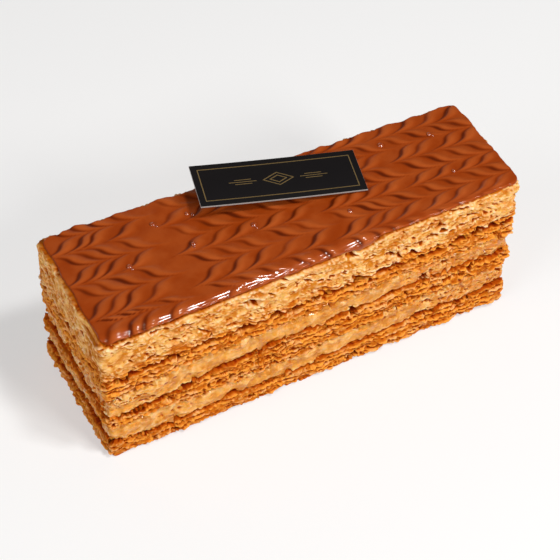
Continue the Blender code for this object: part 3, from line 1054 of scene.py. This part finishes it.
class SliceColours(PropertyGroup):
    """Colours of the slice, as linear red, green and blue."""

    # Random flecks of lighter crust, and the painted highlight on raised rims.
    crust_light: colour_setting("Crust light", "Rims of the browned sheets", (0.90, 0.355, 0.050))
    crust_mid: colour_setting("Crust", "Browned sheets", (0.62, 0.168, 0.007))
    crust_dark: colour_setting("Crust dark", "Well baked sheets", (0.50, 0.11, 0.003))
    # Random paler crumb, and the painted highlight on raised rims.
    crumb_light: colour_setting("Crumb light", "Pale webs of the crumb", (0.97, 0.70, 0.40))
    crumb_mid: colour_setting("Crumb", "Crumb of the top sheet", (0.84, 0.43, 0.105))
    # Random darker crumb, and the painted shade colour in the pale crumb's pits.
    crumb_dark: colour_setting("Crumb dark", "Walls of the crumb's pits", (0.60, 0.185, 0.008))
    # Painted shade: brown laid in pits, under ledges and at seams.
    shade_brown: colour_setting("Brown", "Lower parts of the sheets", (0.46, 0.080, 0.0015))
    # Painted shade: the darkest colour, laid deep in gaps and pits.
    gap: colour_setting("Gap", "Inside the gaps and pits", (0.26, 0.022, 0.0003))
    # Random lighter patches of cream, and the painted highlight on raised rims.
    cream_light: colour_setting("Cream light", "Cream where it swells out", (0.90, 0.53, 0.20))
    cream_mid: colour_setting("Cream", "Body of the cream", (0.76, 0.335, 0.048))
    cream_deep: colour_setting("Cream deep", "Clearer, browner patches of cream", (0.56, 0.18, 0.012))
    glaze: colour_setting("Glaze", "Body of the glaze", (0.30, 0.040, 0.003))
    # Painted sheen on the swells between strokes, and paler clouds of glaze.
    glaze_pale_and_sheen: colour_setting("Glaze light", "Raised, paler glaze", (0.42, 0.082, 0.014))
    glaze_line: colour_setting("Glaze line", "Combed lines in the glaze", (0.11, 0.013, 0.002))
    glaze_thin: colour_setting("Glaze thin", "Thin glaze at its hanging edges", (0.36, 0.085, 0.022))
    card: colour_setting("Card", "Face of the card", (0.007, 0.006, 0.0065))
    card_core: colour_setting("Card core", "Cut edges of the card", (0.55, 0.52, 0.50))
    foil: colour_setting("Foil", "Gold foil on the card", (0.75, 0.52, 0.22))


class SliceSizes(PropertyGroup):
    """Sizes of the slice's details."""

    flake_depth: FloatProperty(
        name="Flake depth", description="How far the sheets' edges run in and out",
        default=0.75 * MM, min=0.1 * MM, max=2.0 * MM, unit="LENGTH", precision=5,
    )
    gap_depth: FloatProperty(
        name="Gap depth", description="Depth of the open gaps between sheets",
        default=1.8 * MM, min=0.2 * MM, max=3.5 * MM, unit="LENGTH", precision=5,
    )
    groove_depth: FloatProperty(
        name="Groove depth", description="Depth of the combed lines in the glaze",
        default=0.12 * MM, min=0.0, max=0.6 * MM, unit="LENGTH", precision=5,
    )


class StageSettings(PropertyGroup):
    """The camera's place."""

    azimuth: FloatProperty(
        name="Azimuth", description="Direction the camera stands in", default=math.radians(-26.8), subtype="ANGLE"
    )
    elevation: FloatProperty(
        name="Elevation", description="Height of the camera over the horizon", default=math.radians(48.0), subtype="ANGLE"
    )
    distance: FloatProperty(
        name="Distance", description="From the slice's middle to the camera",
        default=514.75 * MM, min=0.1, max=5.0, unit="LENGTH",
    )
    aside: FloatProperty(
        name="Aside", description="How far the camera is moved to its right", default=-1.16 * MM, unit="LENGTH", precision=5
    )
    above: FloatProperty(
        name="Above", description="How far the camera is moved up its own axis", default=-2.46 * MM, unit="LENGTH",
        precision=5,
    )
    lens: FloatProperty(name="Lens", description="Focal length", default=119.1, min=20.0, max=300.0, unit="CAMERA")


# ---------------------------------------------------------------- operators

def finished(made, label):
    if not made:
        raise RuntimeError(label + " made nothing")
    return {"FINISHED"}


class MILLEFEUILLE_OT_pastry(Operator):
    """Builds the three sheets of flaky pastry and the pale crumb of the top one"""

    bl_idname = "millefeuille.pastry"
    bl_label = "Pastry"

    def execute(self, context):
        colours, sizes = context.scene.slice_colours, context.scene.slice_sizes
        crust = pastry_material("browned_crust", colours)
        crumb = pastry_material("pale_crumb", colours)
        made = [
            build_layer(
                "bottom_pastry", "pastry_bottom", foot_level, seam("pastry_bottom", 81), 32,
                flaky_relief, 100, crust,
            ),
            build_layer(
                "middle_pastry", "pastry_middle", seam("cream_lower", 83), seam("pastry_middle", 85), 34,
                flaky_relief, 200, crust,
            ),
            build_layer(
                "top_pastry", "pastry_top", seam("cream_upper", 87), crack_level, 32,
                flaky_relief, 400, crust, (0.3, 1.3),
            ),
            build_layer(
                "top_crumb", "pastry_top", crumb_floor, crumb_top, 72,
                crumb_relief, 300, crumb, (0.9, 0.2),
                lambda share, x, y, z: step_between(0.02, 0.3, share + 0.3 * noise(x, y, z, (5.0, 5.0, 2.5), 74)),
            ),
        ]
        return finished(all(made), self.bl_label)


class MILLEFEUILLE_OT_cream(Operator):
    """Builds the two bands of caramel cream"""

    bl_idname = "millefeuille.cream"
    bl_label = "Cream"

    def execute(self, context):
        material = cream_material("caramel_cream", context.scene.slice_colours)
        lower = build_layer(
            "lower_cream", "cream_lower", seam("pastry_bottom", 81), seam("cream_lower", 83), 32,
            cream_relief(lambda x: step_between(18.0, 40.0, x)), 500, material,
            pale=lambda share, x, y, z: 0.7 * step_between(34.0, 46.0, x),
        )
        upper = build_layer(
            "upper_cream", "cream_upper", seam("pastry_middle", 85), seam("cream_upper", 87), 36,
            cream_relief(lambda x: step_between(22.0, 36.0, x) + 0.5 * step_between(-32.0, -42.0, x)), 600,
            material, pale=lambda share, x, y, z: step_between(26.0, 36.0, x),
        )
        return finished(lower and upper, self.bl_label)


class MILLEFEUILLE_OT_glaze(Operator):
    """Builds the feathered glaze with its hanging edge and bubbles"""

    bl_idname = "millefeuille.glaze"
    bl_label = "Glaze"

    def execute(self, context):
        colours, sizes = context.scene.slice_colours, context.scene.slice_sizes
        made = [
            build_glaze(sizes, glaze_material("caramel_glaze", colours)),
            build_bubbles(bubble_material("glaze_bubble", colours)),
        ]
        return finished(all(made), self.bl_label)


class MILLEFEUILLE_OT_flakes(Operator):
    """Scatters thin shards along the cut sheets"""

    bl_idname = "millefeuille.flakes"
    bl_label = "Flakes"

    def execute(self, context):
        material = pastry_material("loose_crust", context.scene.slice_colours)
        made = []
        bands = (("top_flakes", 170, 27.5, 32.2), ("middle_flakes", 190, 14.0, 21.0), ("bottom_flakes", 200, 0.6, 6.5))
        for number, (name, count, low, high) in enumerate(bands):
            mesh = build_flakes(name, count, 900 + number, low, high, 1.3, material)
            data = finish_mesh(mesh, name, 40.0)
            # Loose shards get no painted shade and a little of the painted highlight of raised rims.
            for key, value in (("painted_shade", 0.0), ("rim", 0.3), ("pale", 0.0)):
                set_attribute(data, key, np.full(len(data.vertices), value))
            made.append(add_piece(name, data, material, None))
        return finished(all(made), self.bl_label)


class MILLEFEUILLE_OT_card(Operator):
    """Builds the black card with its foil ornament"""

    bl_idname = "millefeuille.card"
    bl_label = "Card"

    def execute(self, context):
        colours = context.scene.slice_colours
        made = [build_card(card_material("black_card", colours)), build_foil(foil_material("gold_foil", colours))]
        return finished(all(made), self.bl_label)


# Soft lights: name, direction from the slice, distance, size in metres, watts and colour.
LIGHTS = (
    ("key_softbox", (0.30, -0.72, 0.57), 0.9, 0.22, 4.1, (1.0, 0.98, 0.95)),
    ("overhead_softbox", (0.27, -0.35, 0.9), 0.9, 0.12, 3.6, (1.0, 1.0, 1.0)),
    ("left_fill", (-1.0, -0.25, 0.75), 1.0, 0.6, 3.2, (1.0, 0.99, 0.98)),
    ("back_fill", (0.1, 0.95, 0.45), 1.2, 0.8, 1.1, (1.0, 0.86, 0.72)),
)


class MILLEFEUILLE_OT_stage(Operator):
    """Sets the floor, the lights, the world and the camera"""

    bl_idname = "millefeuille.stage"
    bl_label = "Stage"

    def execute(self, context):
        scene = context.scene
        self.build_floor(scene)
        for name, direction, distance, size, power, colour in LIGHTS:
            self.build_light(scene, name, Vector(direction).normalized(), distance, size, power, colour)
        world = bpy.data.worlds.new("studio")
        scene.world = world
        world.use_nodes = True
        world.node_tree.nodes["Background"].inputs["Color"].default_value = (1.0, 1.0, 1.0, 1.0)
        world.node_tree.nodes["Background"].inputs["Strength"].default_value = 0.06
        self.build_camera(scene)
        scene.view_settings.view_transform = "Standard"
        return finished(scene.camera, self.bl_label)

    def build_floor(self, scene):
        mesh = bmesh.new()
        bmesh.ops.create_grid(mesh, x_segments=1, y_segments=1, size=3.0)
        data = finish_mesh(mesh, "floor")
        paint = Paint("pale_floor")
        cloud = paint.noise(400.0, 1.0)
        base = paint.colour((0.50, 0.50, 0.50), (0.52, 0.52, 0.52), cloud)
        data.materials.append(paint.set(
            Base_Color=base, Roughness=0.9, Specular_IOR_Level=0.0, Emission_Color=(1.0, 1.0, 1.0, 1.0), Emission_Strength=0.45
        ))
        floor = bpy.data.objects.new("floor", data)
        scene.collection.objects.link(floor)

    def build_light(self, scene, name, direction, distance, size, power, colour):
        light = bpy.data.lights.new(name, "AREA")
        light.shape = "SQUARE"
        light.size = size
        light.energy = power
        light.color = colour
        lamp = bpy.data.objects.new(name, light)
        lamp.location = direction * distance
        lamp.rotation_euler = direction.to_track_quat("Z", "Y").to_euler()
        scene.collection.objects.link(lamp)

    def build_camera(self, scene):
        settings = scene.slice_stage
        azimuth, elevation = settings.azimuth, settings.elevation
        away = Vector((
            math.sin(azimuth) * math.cos(elevation), -math.cos(azimuth) * math.cos(elevation), math.sin(elevation)
        ))
        right = Vector((math.cos(azimuth), math.sin(azimuth), 0.0))
        up = away.cross(right)
        middle = Vector((0.0, 0.0, 0.5 * TOP_Z * MM))
        camera = bpy.data.objects.new("camera", bpy.data.cameras.new("camera"))
        camera.data.lens = settings.lens
        camera.data.clip_start = 0.01
        camera.location = middle + away * settings.distance + right * settings.aside + up * settings.above
        camera.rotation_euler = Matrix((right, up, away)).transposed().to_euler()
        scene.collection.objects.link(camera)
        scene.camera = camera


class MILLEFEUILLE_PT_panel(Panel):
    """Settings and steps of the slice"""

    bl_label = "Mille-feuille"
    bl_idname = "MILLEFEUILLE_PT_panel"
    bl_space_type = "VIEW_3D"
    bl_region_type = "UI"
    bl_category = "Mille-feuille"

    def draw(self, context):
        for group in (context.scene.slice_sizes, context.scene.slice_colours, context.scene.slice_stage):
            box = self.layout.box()
            for name in group.bl_rna.properties.keys():
                if name not in ("rna_type", "name"):
                    box.prop(group, name)
        for operator in OPERATORS:
            self.layout.operator(operator.bl_idname)


OPERATORS = (
    MILLEFEUILLE_OT_pastry, MILLEFEUILLE_OT_cream, MILLEFEUILLE_OT_glaze, MILLEFEUILLE_OT_flakes,
    MILLEFEUILLE_OT_card, MILLEFEUILLE_OT_stage,
)
GROUPS = {"slice_colours": SliceColours, "slice_sizes": SliceSizes, "slice_stage": StageSettings}


def register():
    for item in (*GROUPS.values(), *OPERATORS, MILLEFEUILLE_PT_panel):
        bpy.utils.register_class(item)
    for name, group in GROUPS.items():
        setattr(bpy.types.Scene, name, PointerProperty(type=group))


def unregister():
    for name in GROUPS:
        delattr(bpy.types.Scene, name)
    for item in reversed((*GROUPS.values(), *OPERATORS, MILLEFEUILLE_PT_panel)):
        bpy.utils.unregister_class(item)


def main():
    register()
    bpy.ops.millefeuille.pastry()
    bpy.ops.millefeuille.cream()
    bpy.ops.millefeuille.glaze()
    bpy.ops.millefeuille.flakes()
    bpy.ops.millefeuille.card()
    bpy.ops.millefeuille.stage()


if __name__ == "__main__":
    main()
